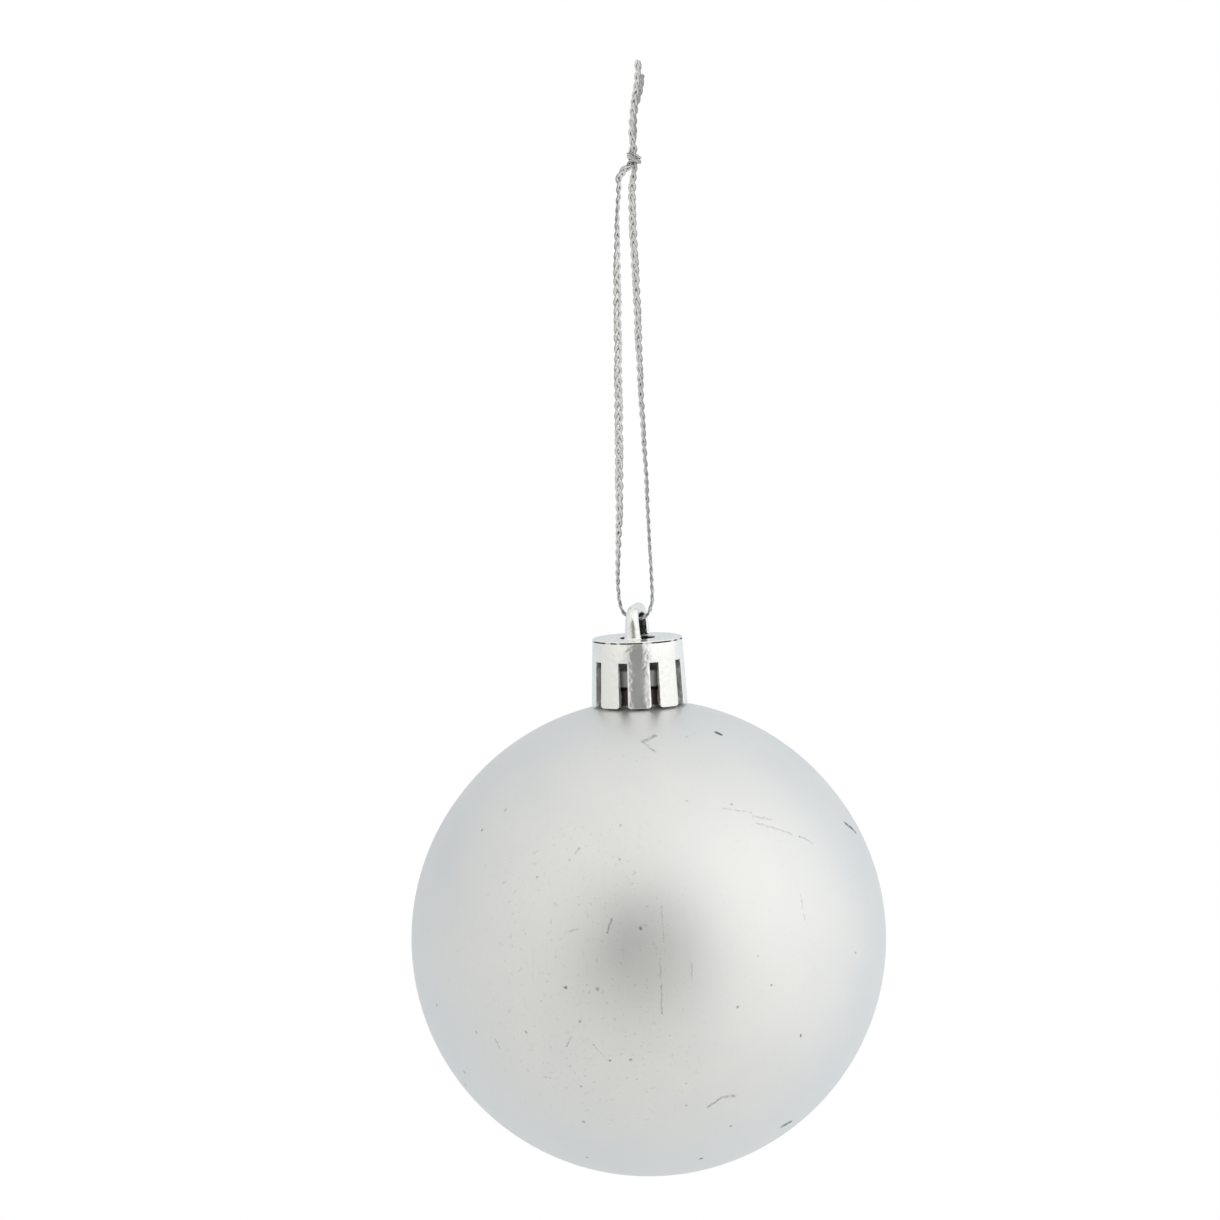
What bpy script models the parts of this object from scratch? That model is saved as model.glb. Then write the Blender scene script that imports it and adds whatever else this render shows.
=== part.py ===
"""A ball ornament: a coated ball with a bead on its neck, a slotted crown cap that snaps over the bead,
and a braided cord that is knotted into a loop through the eye of the cap's hanger arch.

Lengths are millimetres in the constants and metres in the scene, with +Z up. The origin is the ball's
lowest point. The hanger arch stands in the YZ plane, so +X runs through its eye. The cord is one flexible
length; here it is cut into stiff lengths where it bends, and each bend is a pivot.
"""

import math

import bmesh
import bpy
from mathutils import Matrix, Vector

MM = 0.001

# Ball
BALL_RADIUS = 30.0
SHELL_WALL = 0.7
NECK_RADIUS = 4.35
NECK_WALL = 0.8
NECK_FILLET = 0.4
BEAD_RADIUS = 4.75
BEAD_LOW = 62.5
MOUTH_Z = 64.7
BEAD_ROUNDING = 0.25

# Crown cap
CAP_TOP_Z = 68.4
CAP_RIM_Z = 59.95
CAP_TOP_RADIUS = 5.7
CAP_WAIST_RADIUS = 5.87
CAP_RIM_RADIUS = 6.05
CAP_WALL = 0.6
CAP_DISC = 0.9
CAP_EDGE_ROUNDING = 0.2
OPENING_RADIUS = 2.28
LUG_RADIUS = 4.9
LUG_LOW = 60.6
LUG_HIGH = 61.5
SLOT_COUNT = 9
SLOT_WIDTH = 1.2
SLOT_TOP_Z = 65.7
FINGER_ROUNDING = 0.4
CROWN_TURN = math.radians(12.0)  # from the arch's plane to the middle of the nearest finger

# Hanger arch
ARCH_TOP_Z = 72.65
ARCH_HALF_SPAN = 2.8
ARCH_CORNER = 1.5
ARCH_HALF_THICK = 0.68
ARCH_FOOT_HALF_WIDTH = 1.03
ARCH_BAR_HALF_WIDTH = 0.75
ARCH_SQUARENESS = 2.5
ARCH_ROOT = 0.5  # how far the feet run into the cap's disc
BAR_Z = ARCH_TOP_Z - ARCH_HALF_THICK

# Cord
CORD_HALF_WIDTH = 0.53
CORD_HALF_THICK = 0.24
CORD_END_ROUNDING = 0.4
BEND_GAP = 0.3  # from a bend's pivot to the tip of each length
BIGHT_Z = 70.75
TILT_Z = 75.0
FOLD_Z = 100.0
SWING_Z = 127.4
KNOT_CENTRE = (1.85, 0.0, 129.2)
KNOT_HALF_SIZE = (0.95, 0.9, 1.4)
TAIL_START_Z = KNOT_CENTRE[2] + KNOT_HALF_SIZE[2] + BEND_GAP
TAIL_DEPTH = 0.5  # each tail stands this far to its own side of the cord's plane
LONG_TAIL_END_Z = 141.75
SHORT_TAIL_END_Z = 139.9

# Facets
BALL_SEGMENTS = 48
BALL_RINGS = 24
CAP_SEGMENTS = 72
ARC_STEPS = 3
ARCH_SECTION = 20
ARCH_RINGS = 36
CORD_SECTION = 12
CORD_RING_SPACING = 1.6
PATH_STEPS = 24


def clear_scene():
    for old in list(bpy.data.objects):
        bpy.data.objects.remove(old)


def make_material(name, colour, metallic, roughness):
    material = bpy.data.materials.new(name)
    material.use_nodes = True
    shader = material.node_tree.nodes["Principled BSDF"]
    shader.inputs["Base Color"].default_value = (*colour, 1.0)
    shader.inputs["Metallic"].default_value = metallic
    shader.inputs["Roughness"].default_value = roughness
    return material


def make_pivot(name, place, parent=None):
    """An empty at a place given in millimetres, moved by its parent."""
    pivot = bpy.data.objects.new(name, None)
    bpy.context.scene.collection.objects.link(pivot)
    pivot.empty_display_size = 2.0 * MM
    pivot["place_mm"] = place
    start = Vector(parent["place_mm"]) if parent else Vector((0.0, 0.0, 0.0))
    pivot.location = (Vector(place) - start) * MM
    pivot.parent = parent
    return pivot


def make_object(name, shape, material, pivot):
    """A named object from a bmesh in millimetres, with its origin on its pivot."""
    bmesh.ops.recalc_face_normals(shape, faces=shape.faces)
    to_pivot = Matrix.Translation(-Vector(pivot["place_mm"]))
    shape.transform(Matrix.Scale(MM, 4) @ to_pivot)
    mesh = bpy.data.meshes.new(name)
    shape.to_mesh(mesh)
    shape.free()
    mesh.shade_smooth()
    mesh.set_sharp_from_angle(angle=math.radians(35.0))
    piece = bpy.data.objects.new(name, mesh)
    bpy.context.scene.collection.objects.link(piece)
    piece.parent = pivot
    piece.data.materials.append(material)
    return piece


def hide_guide(guide):
    guide.hide_render = True
    guide.display_type = "WIRE"


def add_boolean(piece, other, operation):
    modifier = piece.modifiers.new(other.name, "BOOLEAN")
    modifier.operation = operation
    modifier.object = other
    modifier.solver = "EXACT"


def arc(centre, radius, start, end, steps=ARC_STEPS):
    """Points on an arc in a flat drawing, angles in degrees, both ends included."""
    points = []
    for i in range(steps + 1):
        angle = math.radians(start + (end - start) * i / steps)
        points.append((centre[0] + radius * math.cos(angle), centre[1] + radius * math.sin(angle)))
    return points


def lathe(profile, segments, closed):
    """A turned shape from (radius, height) points; a point on the axis becomes a pole."""
    shape = bmesh.new()
    rings = []
    for radius, height in profile:
        if radius < 1e-6:
            rings.append([shape.verts.new((0.0, 0.0, height))])
            continue
        ring = []
        for j in range(segments):
            angle = 2.0 * math.pi * j / segments
            ring.append(shape.verts.new((radius * math.cos(angle), radius * math.sin(angle), height)))
        rings.append(ring)
    pairs = list(zip(rings, rings[1:]))
    if closed:
        pairs.append((rings[-1], rings[0]))
    for low, high in pairs:
        for j in range(segments):
            k = (j + 1) % segments
            corners = [low[j % len(low)], low[k % len(low)], high[k % len(high)], high[j % len(high)]]
            shape.faces.new(list(dict.fromkeys(corners)))
    return shape


def loft(rings):
    """A closed solid through rings of points, with flat ends."""
    shape = bmesh.new()
    loops = [[shape.verts.new(point) for point in ring] for ring in rings]
    for low, high in zip(loops, loops[1:]):
        for j in range(len(low)):
            k = (j + 1) % len(low)
            shape.faces.new((low[j], low[k], high[k], high[j]))
    shape.faces.new(list(reversed(loops[0])))
    shape.faces.new(loops[-1])
    return shape


def superellipse(half_width, half_height, squareness, count):
    points = []
    for i in range(count):
        angle = 2.0 * math.pi * i / count
        across = abs(math.cos(angle)) ** (2.0 / squareness) * math.copysign(1.0, math.cos(angle))
        along = abs(math.sin(angle)) ** (2.0 / squareness) * math.copysign(1.0, math.sin(angle))
        points.append((half_width * across, half_height * along))
    return points


def ball_profile():
    """From the ball's lowest point up the outside, over the mouth and down the inside."""
    inner_radius = BALL_RADIUS - SHELL_WALL
    bore = NECK_RADIUS - NECK_WALL
    neck_meets = math.degrees(math.acos((NECK_RADIUS + NECK_FILLET) / BALL_RADIUS))
    bore_meets = math.degrees(math.acos(bore / inner_radius))
    profile = [(0.0, 0.0)]
    step = 180.0 / BALL_RINGS
    outer_count = int((90.0 + neck_meets) // step)
    outside = arc((0.0, BALL_RADIUS), BALL_RADIUS, -90.0, -90.0 + outer_count * step, outer_count)
    profile += outside[1:]
    meeting = arc((0.0, BALL_RADIUS), BALL_RADIUS, neck_meets, neck_meets, 1)[0]
    profile.append(meeting)
    profile.append((NECK_RADIUS, meeting[1] + NECK_FILLET))
    profile.append((NECK_RADIUS, BEAD_LOW))
    profile += arc((BEAD_RADIUS - BEAD_ROUNDING, BEAD_LOW + BEAD_ROUNDING), BEAD_ROUNDING, -90.0, 0.0)
    profile += arc((BEAD_RADIUS - BEAD_ROUNDING, MOUTH_Z - BEAD_ROUNDING), BEAD_ROUNDING, 0.0, 90.0)
    profile.append((bore, MOUTH_Z))
    inside = arc((0.0, BALL_RADIUS), inner_radius, bore_meets, -90.0, BALL_RINGS - 2)
    profile += inside[:-1]
    profile.append((0.0, SHELL_WALL))
    return profile


def make_ball(pivot, material):
    return make_object("ball_shell", lathe(ball_profile(), BALL_SEGMENTS, closed=False), material, pivot)


def cap_profile():
    """Round the cap's wall: across the top, down the outside, then up the inside past the snap lug."""
    ceiling = CAP_TOP_Z - CAP_DISC
    edge_centre = (CAP_TOP_RADIUS - CAP_EDGE_ROUNDING, CAP_TOP_Z - CAP_EDGE_ROUNDING)
    profile = [(OPENING_RADIUS, CAP_TOP_Z)]
    profile += arc(edge_centre, CAP_EDGE_ROUNDING, 90.0, 0.0)
    profile.append((CAP_WAIST_RADIUS, (CAP_TOP_Z + CAP_RIM_Z) / 2.0))
    profile.append((CAP_RIM_RADIUS, CAP_RIM_Z))
    profile.append((CAP_RIM_RADIUS - CAP_WALL, CAP_RIM_Z))
    profile.append((LUG_RADIUS, LUG_LOW))
    profile.append((LUG_RADIUS, LUG_HIGH))
    profile.append((CAP_WAIST_RADIUS - CAP_WALL, LUG_HIGH + (CAP_WAIST_RADIUS - CAP_WALL - LUG_RADIUS)))
    profile.append((CAP_TOP_RADIUS - CAP_WALL, ceiling))
    profile.append((OPENING_RADIUS, ceiling))
    return profile


def slot_outline():
    """One slot seen square on, as (across, height), with the fingers' lower corners rounded off."""
    half = SLOT_WIDTH / 2.0
    corner = arc((half + FINGER_ROUNDING, CAP_RIM_Z + FINGER_ROUNDING), FINGER_ROUNDING, 180.0, 255.0)
    below = (half + FINGER_ROUNDING, CAP_RIM_Z - FINGER_ROUNDING)
    side = [(half, SLOT_TOP_Z)] + corner + [below]
    return side + [(-across, height) for across, height in reversed(side)]


def make_slot_cutter(pivot, material):
    outline = slot_outline()
    reach = (LUG_RADIUS - 1.0, CAP_RIM_RADIUS + 1.0)
    shape = bmesh.new()
    for slot in range(SLOT_COUNT):
        rings = [[(across, -radius, height) for across, height in outline] for radius in reach]
        wedge = loft(rings)
        turn = CROWN_TURN + 2.0 * math.pi * (slot + 0.5) / SLOT_COUNT
        wedge.transform(Matrix.Rotation(turn, 4, "Z"))
        mesh = bpy.data.meshes.new("slot")
        wedge.to_mesh(mesh)
        wedge.free()
        shape.from_mesh(mesh)
        bpy.data.meshes.remove(mesh)
    cutter = make_object("slot_cutter", shape, material, pivot)
    hide_guide(cutter)
    return cutter


def arch_centre_line():
    """Points up one leg, round the corners and down the other leg, as (y, z) with a tangent angle."""
    shoulder_y = ARCH_HALF_SPAN - ARCH_CORNER
    shoulder_z = BAR_Z - ARCH_CORNER
    leg = [(-ARCH_HALF_SPAN, CAP_TOP_Z - ARCH_ROOT), (-ARCH_HALF_SPAN, CAP_TOP_Z), (-ARCH_HALF_SPAN, shoulder_z)]
    corner_steps = ARCH_RINGS // 4
    corner = arc((-shoulder_y, shoulder_z), ARCH_CORNER, 180.0, 90.0, corner_steps)
    half = leg + corner[1:]
    return half + [(0.0, BAR_Z)] + [(-y, z) for y, z in reversed(half)]


def make_arch(pivot, material):
    line = arch_centre_line()
    rings = []
    for i, (y, z) in enumerate(line):
        before = line[max(i - 1, 0)]
        after = line[min(i + 1, len(line) - 1)]
        along = Vector((0.0, after[0] - before[0], after[1] - before[1])).normalized()
        outward = along.cross(Vector((1.0, 0.0, 0.0)))
        rise = min(max((z - CAP_TOP_Z) / (BAR_Z - CAP_TOP_Z), 0.0), 1.0)
        half_width = ARCH_FOOT_HALF_WIDTH + (ARCH_BAR_HALF_WIDTH - ARCH_FOOT_HALF_WIDTH) * rise
        section = superellipse(half_width, ARCH_HALF_THICK, ARCH_SQUARENESS, ARCH_SECTION)
        centre = Vector((0.0, y, z))
        rings.append([centre + Vector((across, 0.0, 0.0)) + outward * out for across, out in section])
    arch = make_object("arch_guide", loft(rings), material, pivot)
    hide_guide(arch)
    return arch


def make_cap(pivot, material):
    cap = make_object("cap_crown", lathe(cap_profile(), CAP_SEGMENTS, closed=True), material, pivot)
    add_boolean(cap, make_slot_cutter(pivot, material), "DIFFERENCE")
    add_boolean(cap, make_arch(pivot, material), "UNION")
    return cap


def smooth_path(points):
    """A Catmull-Rom curve through the points, as closely spaced vectors."""
    knots = [Vector(p) for p in points]
    knots = [2.0 * knots[0] - knots[1]] + knots + [2.0 * knots[-1] - knots[-2]]
    path = []
    for i in range(1, len(knots) - 2):
        a, b, c, d = knots[i - 1 : i + 3]
        for step in range(PATH_STEPS):
            t = step / PATH_STEPS
            path.append(
                0.5 * (2.0 * b + (c - a) * t + (2.0 * a - 5.0 * b + 4.0 * c - d) * t**2
                       + (3.0 * b - a - 3.0 * c + d) * t**3)
            )
    path.append(knots[-2])
    return path


def point_along(path, distance):
    """The place and direction at a distance along a path of closely spaced points."""
    travelled = 0.0
    for a, b in zip(path, path[1:]):
        length = (b - a).length
        if travelled + length >= distance or b is path[-1]:
            share = min(max((distance - travelled) / length, 0.0), 1.0)
            return a.lerp(b, share), (b - a).normalized()
        travelled += length


def cord_rings(points, twist, cut_end):
    """Oval rings along a cord. Its broad side turns from twist[0] to twist[1] degrees; tips are rounded,
    except a cut end, which is flat and level."""
    path = smooth_path(points)
    total = sum((b - a).length for a, b in zip(path, path[1:]))
    tips = [(CORD_END_ROUNDING * (1.0 - math.cos(a)), math.sin(a)) for a in map(math.radians, (20, 45, 70))]
    last = total if cut_end else total - CORD_END_ROUNDING
    middle_count = max(2, round((last - CORD_END_ROUNDING) / CORD_RING_SPACING))
    stations = list(tips)
    for i in range(middle_count + 1):
        stations.append((CORD_END_ROUNDING + (last - CORD_END_ROUNDING) * i / middle_count, 1.0))
    if not cut_end:
        stations += [(total - distance, scale) for distance, scale in reversed(tips)]
    rings = []
    for distance, scale in stations:
        place, along = point_along(path, distance)
        if cut_end and distance == total:
            along = Vector((0.0, 0.0, 1.0))
        turn = math.radians(twist[0] + (twist[1] - twist[0]) * distance / total)
        depth = Vector((0.0, 1.0, 0.0))
        side = depth.cross(along).normalized()
        depth = along.cross(side)
        broad = side * math.cos(turn) + depth * math.sin(turn)
        thin = along.cross(broad)
        section = superellipse(CORD_HALF_WIDTH * scale, CORD_HALF_THICK * scale, 2.0, CORD_SECTION)
        rings.append([place + broad * u + thin * v for u, v in section])
    return rings


def make_cord(name, points, twist, pivot, material, cut_end=False):
    """A stiff length of the cord through (x, y, z) points, from low to high."""
    return make_object(name, loft(cord_rings(points, twist, cut_end)), material, pivot)


def make_bight(pivot, material):
    """The U of cord that passes under the arch's bar, through the eye."""
    tip = TILT_Z - BEND_GAP
    half = [(-2.2, 0.0, tip), (-2.15, 0.0, 73.2), (-1.85, 0.0, 72.0), (-1.1, 0.0, 71.05)]
    points = half + [(0.0, 0.0, BIGHT_Z)] + [(-x, y, z) for x, y, z in reversed(half)]
    return make_cord("cord_bight", points, (90.0, 90.0), pivot, material)


def make_runs(pivot_low, pivot_high, material):
    """The two sides of the cord's loop, each in a lower and an upper length."""
    low_start = TILT_Z + BEND_GAP
    low_end = FOLD_Z - BEND_GAP
    high_start = FOLD_Z + BEND_GAP
    high_end = SWING_Z - BEND_GAP
    left_low = [(-2.24, 0.0, low_start), (-2.1, 0.0, 79.0), (-1.7, 0.0, 84.5), (-1.2, 0.0, low_end)]
    make_cord("cord_left_lower", left_low, (-76.0, 15.0), pivot_low, material)
    right_low = [(2.16, 0.0, low_start), (2.02, 0.0, 82.0), (1.95, 0.0, 89.0), (1.68, 0.0, low_end)]
    make_cord("cord_right_lower", right_low, (90.0, 127.0), pivot_low, material)
    left_high = [(-1.18, 0.0, high_start), (-0.8, 0.0, 114.0), (-0.45, 0.0, 122.0), (0.05, 0.0, high_end)]
    make_cord("cord_left_upper", left_high, (15.0, 72.0), pivot_high, material)
    right_high = [(1.68, 0.0, high_start), (1.62, 0.0, 111.0), (1.48, 0.0, 121.0), (1.6, 0.0, high_end)]
    make_cord("cord_right_upper", right_high, (127.0, 146.0), pivot_high, material)


def make_knot(pivot, material):
    """The overhand knot that closes the loop."""
    shape = bmesh.new()
    bmesh.ops.create_uvsphere(shape, u_segments=20, v_segments=14, radius=1.0)
    shape.transform(Matrix.Diagonal((*KNOT_HALF_SIZE, 1.0)))
    shape.transform(Matrix.Translation(KNOT_CENTRE))
    return make_object("cord_knot", shape, material, pivot)


def make_tails(pivot, material):
    """The two loose ends above the knot, side by side; the long one ends in a level cut."""
    front, back = -TAIL_DEPTH, TAIL_DEPTH
    long_tail = [(1.8, front, TAIL_START_Z), (1.95, front, 134.0), (2.45, front, 137.0), (2.85, front, 139.6),
                 (2.95, front, 140.8), (2.95, front, LONG_TAIL_END_Z)]
    short_tail = [(1.95, back, TAIL_START_Z), (2.1, back, 134.0), (2.7, back, 137.0), (3.3, back, 139.2),
                  (3.35, back, SHORT_TAIL_END_Z)]
    make_cord("cord_tail_long", long_tail, (0.0, 0.0), pivot, material, cut_end=True)
    make_cord("cord_tail_short", short_tail, (0.0, 0.0), pivot, material, cut_end=True)


def main():
    clear_scene()
    satin_silver = make_material("satin_silver_coating", (0.78, 0.79, 0.79), 1.0, 0.42)
    plated_silver = make_material("silver_plating", (0.86, 0.86, 0.85), 1.0, 0.16)
    silver_braid = make_material("silver_braid", (0.62, 0.62, 0.62), 0.6, 0.45)

    held = make_pivot("cord_top", KNOT_CENTRE)
    swing = make_pivot("cord_swing_pivot", (0.85, 0.0, SWING_Z), held)
    fold = make_pivot("cord_fold_pivot", (0.25, 0.0, FOLD_Z), swing)
    tilt = make_pivot("cord_tilt_pivot", (0.0, 0.0, TILT_Z), fold)
    rock = make_pivot("cap_rock_pivot", (0.0, 0.0, BAR_Z), tilt)
    seat = make_pivot("ball_seat", (0.0, 0.0, MOUTH_Z), rock)

    make_knot(held, silver_braid)
    make_tails(held, silver_braid)
    make_runs(fold, swing, silver_braid)
    make_bight(tilt, silver_braid)
    make_cap(rock, plated_silver)
    make_ball(seat, satin_silver)


main()
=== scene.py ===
"""The looks of the ball ornament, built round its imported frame: a satin silver ball, a plated crown cap
with its hanger arch, and a three-strand braided cord tied in an overhand knot.

Lengths are millimetres in the constants and metres in the scene. Directions on the ball are given as the
frame gives them: azimuth 0 faces -Y and 90 faces +X.
"""

import math

import bmesh
import bpy
import numpy as np
from mathutils import Matrix, Vector

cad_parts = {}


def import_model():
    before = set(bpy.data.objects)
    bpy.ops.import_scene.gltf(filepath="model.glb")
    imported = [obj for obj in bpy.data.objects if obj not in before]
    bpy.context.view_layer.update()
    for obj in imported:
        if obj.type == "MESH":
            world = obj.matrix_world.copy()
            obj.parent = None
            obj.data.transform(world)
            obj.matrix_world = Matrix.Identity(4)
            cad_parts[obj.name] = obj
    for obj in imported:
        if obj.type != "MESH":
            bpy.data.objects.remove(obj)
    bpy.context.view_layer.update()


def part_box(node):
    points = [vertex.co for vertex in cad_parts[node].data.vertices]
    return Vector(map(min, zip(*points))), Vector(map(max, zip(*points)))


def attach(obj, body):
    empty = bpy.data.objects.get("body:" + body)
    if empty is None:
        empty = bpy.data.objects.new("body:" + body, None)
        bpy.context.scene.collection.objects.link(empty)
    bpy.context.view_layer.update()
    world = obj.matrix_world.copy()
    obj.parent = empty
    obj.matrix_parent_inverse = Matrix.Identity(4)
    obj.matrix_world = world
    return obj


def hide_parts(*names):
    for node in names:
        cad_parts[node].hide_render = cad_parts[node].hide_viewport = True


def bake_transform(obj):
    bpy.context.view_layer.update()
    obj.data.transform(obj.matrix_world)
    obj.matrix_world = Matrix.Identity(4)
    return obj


MM = 0.001
WHITE = (1.0, 1.0, 1.0, 1.0)

# The view
VIEW_AZIMUTH = 12.0
VIEW_ELEVATION = 6.2
VIEW_ROLL = 2.2
VIEW_DISTANCE = 4000.0
VIEW_WIDTH = 154.2  # what the picture spans at the ball's centre
VIEW_SHIFT = (-4.90, 41.58, 0.0)  # of the picture's centre from the ball's, to the right and up
SENSOR_WIDTH = 36.0

# The light tent
TENT_LEVEL = 0.91
TENT_GAIN = (0.10, 0.02, 0.15)  # how much the light grows to the right, up and towards the camera
TENT_COOL = (0.91, 0.962, 1.0, 1.0)  # its colour behind the ornament
TENT_WARM = (1.0, 0.998, 0.966, 1.0)  # and in front
TENT_TURN = (-0.7, 0.1)  # from one to the other, as cosines of the angle from the camera
FLOOR_DROP = 900.0  # the ornament hangs this far above the floor
FLOOR_SIZE = 40000.0
FLOOR_GLOW = 0.81
FLOOR_RIGHT_GAIN = 0.11
# Its unlit zone round the camera
SHADE_RADIUS = 1500.0
SHADE_DISTANCE = 1560.0  # from the ornament
SHADE_HALO = (0.21, 0.89)  # where its faint outer part starts and ends, as shares of the radius
SHADE_HALO_DEPTH = 0.59
SHADE_CORE = (0.29, 0.53)  # the same for its dark middle
SHADE_CORE_DEPTH = 1.00
SHADE_DROP = 160.0  # how far its middle lies below the camera's line of sight
SHADE_LEFT = 50.0  # and how far to the left of it
SHADE_LEVEL = 0.10
# The softbox
KEY_SIZE = 2440.0
KEY_DISTANCE = 1000.0
KEY_SIDE = (0.88, 0.08, 0.46)  # how far it lies to the right, up and towards the camera
KEY_COLOUR = (1.0, 0.985, 1.07)
KEY_POWER = 2.27

# Ball
SHELL_WALL = 0.7
SHOULDER_RISE = 0.33  # how far the ball swells towards its neck
SHOULDER_SPREAD = 50.0  # degrees from the neck over which it does
NECK_RADIUS = 4.35
NECK_WALL = 0.8
NECK_FILLET = 0.4
BEAD_RADIUS = 4.75
BEAD_HEIGHT = 2.2
BEAD_ROUNDING = 0.25
BALL_SEGMENTS = 192
BALL_RINGS = 120
BALL_COOL = (0.795, 0.80, 0.795, 1.0)
BALL_WARM = (0.815, 0.815, 0.805, 1.0)
BALL_ROUGHNESS = (0.47, 0.51)
# Painted shade on the neck inside the cap: dark up the neck, a black painted shadow under the bead and a
# darkened grey bead
NECK_PAINTED_SHADE = (0.10, 0.085, 0.075, 1.0)
BEAD_PAINTED_SHADOW = (0.01, 0.01, 0.01, 1.0)  # painted shadow just under the bead
BEAD_PAINTED_SHADE = (0.42, 0.42, 0.41, 1.0)

# Scuffs on the ball: azimuth and elevation of either end in degrees, half-width in mm, and darkness
BALL_SCUFFS = (
    (19.5, 64.5, 13.5, 62.5, 0.32, 0.5), (13, 62, 18, 58, 0.19, 0.45), (36, 63, 44, 64.5, 0.15, 0.3),
    (-13, 63, 1, 58, 0.1, 0.3), (1, 58, 10, 55, 0.1, 0.25), (-12, 60, -2, 56, 0.1, 0.25),
    (37, 38.5, 46, 36.5, 0.14, 0.2), (46, 35.5, 52, 34, 0.17, 0.22), (46.5, 33.5, 57, 29.5, 0.15, 0.27),
    (60, 28.5, 63.5, 26.5, 0.12, 0.3), (87, 29, 92, 26, 0.28, 1), (53.5, 14.5, 53.5, 8, 0.08, 0.3),
    (14.5, 2, 14.5, -3, 0.07, 0.3), (14.5, -4.5, 14.5, -11.5, 0.12, 0.38), (22, 0.5, 22, -3.5, 0.08, 0.3),
    (15.5, 14.5, 15.5, 6, 0.08, 0.25), (28.5, -39, 32.5, -36, 0.17, 0.8), (33, -36, 36.5, -36, 0.24, 0.4),
    (69, -50.5, 72, -49.5, 0.42, 1), (-8, 9, -5.5, 9.5, 0.12, 0.35), (3, 12, 2, 8.5, 0.13, 0.5),
    (-3.5, -19, 0, -23.5, 0.07, 0.4), (-9, -17, -10.5, -19.5, 0.12, 0.4), (-6.5, 29.5, -7.5, 28, 0.1, 0.5),
    (-32, -18.5, -31.5, -21.5, 0.08, 0.4),
)
# Specks: azimuth, elevation, half-width and darkness
BALL_SPECKS = (
    (10, 9.5, 0.22, 0.68), (5, 35.5, 0.2, 0.51), (40.5, 39.5, 0.17, 0.51), (-9, -4.5, 0.2, 0.85),
    (-1, -5, 0.23, 0.68), (39, 1, 0.16, 0.59), (42.5, -6.5, 0.16, 0.59), (33.5, -11, 0.19, 0.68),
    (-21.5, -16, 0.2, 0.85), (-38.5, -17, 0.19, 0.68), (-6, -13, 0.2, 0.68), (6, -23.5, 0.19, 0.77),
    (0.5, -23.5, 0.2, 0.77), (-9, -31, 0.17, 0.68), (21, -31, 0.16, 0.59), (21.5, -38, 0.16, 0.77),
    (39.5, -47, 0.17, 0.68), (35.5, -62.5, 0.23, 0.85), (53.5, -20.5, 0.22, 0.85), (-42.5, 33, 0.19, 0.68),
    (-36.5, 39, 0.2, 0.42), (59.5, 28.5, 0.16, 0.51), (-17.5, 22, 0.2, 0.42), (-55, -11.5, 0.17, 0.59),
    (-9, 26.5, 0.17, 0.42), (5, 26.5, 0.19, 0.42), (-12.5, -43, 0.23, 0.51), (-61.5, -34, 0.2, 0.77),
    (-54, -29.5, 0.27, 0.51), (-24, -60, 0.22, 0.59), (72, -2, 0.17, 0.51), (26, 41.5, 0.14, 0.42),
)
BROWN_SPECK = (57.0, 63.5, 58.0, 62.5, 0.30, 1.0)  # given like a scuff
DUSTY_AREA = (-8.0, 14.0, -4.0, -22.0, 11.0, 1.0)  # given like a very broad scuff
SCUFF_RAGGED = 0.25  # how far the marks' edges stray
SCUFF_COLOUR = (0.14, 0.14, 0.14, 1.0)
BROWN_COLOUR = (0.11, 0.08, 0.03, 1.0)
DUST_DEPTH = 0.17
DUST_ELSEWHERE = 0.2  # outside the dusty area, as a share of the dust in it
HAIR_SHARE = 0.25  # how dark hairs are against dust
HAIR_STRETCH = 0.08  # how much slower they vary upwards than sideways

# Crown cap
CAP_BODY_HEIGHT = 8.45  # rim to disc
CAP_TOP_INSET = 0.35  # how much narrower the cap is at its top than at its rim
CAP_WAIST_INSET = 0.18
CAP_WALL = 0.6
CAP_DISC = 0.9
CAP_EDGE_ROUNDING = 0.14
CAP_GROOVE_DEPTH = 0.16
CAP_GROOVE_HALF = 0.09
GROOVE_BREAKS = -0.5  # the higher, the more breaks in the groove's painted dark line
OPENING_RADIUS = 2.28
OPENING_ROUNDING = 0.12
LUG_RADIUS = 4.9
LUG_BAND = (0.8, 1.7)  # heights above the rim
SLOT_COUNT = 9
SLOT_HALF_WIDTH = 0.6
SLOT_HEIGHT = 5.75
FINGER_ROUNDING = 0.4
CROWN_TURN = 12.0  # azimuth of one finger's middle
TIP_ROWS = (0.0, 0.25, 0.55, 1.0)  # rows of faces up a finger's rounded tip, as shares of the rounding
FINGER_ROWS_FROM = 1.4  # where the even rows up a finger start, above its lug
FINGER_ROWS = 4
BAND_ROWS = (0.4, 1.0)  # rows above the slots
DISC_ROWS = (4.4, 3.4)  # radii of the rows across the disc
CEILING_ROW = 3.6  # radius of the row under it
FINGER_COLUMNS = 12
SLOT_COLUMNS = 5
CAP_BEVEL = 0.08
BEVEL_FROM = 38.0  # degrees between the faces that get one
PLATING_COLOUR = (0.92, 0.92, 0.905, 1.0)
PLATING_ROUGHNESS = (0.12, 0.20)
# Painted shade inside the cap, in its groove and round the arch's eye: near black with a lighter mottle
SHADE_PLASTIC_DARK = (0.012, 0.012, 0.012, 1.0)
SHADE_PLASTIC_MOTTLE = (0.20, 0.20, 0.195, 1.0)

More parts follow.
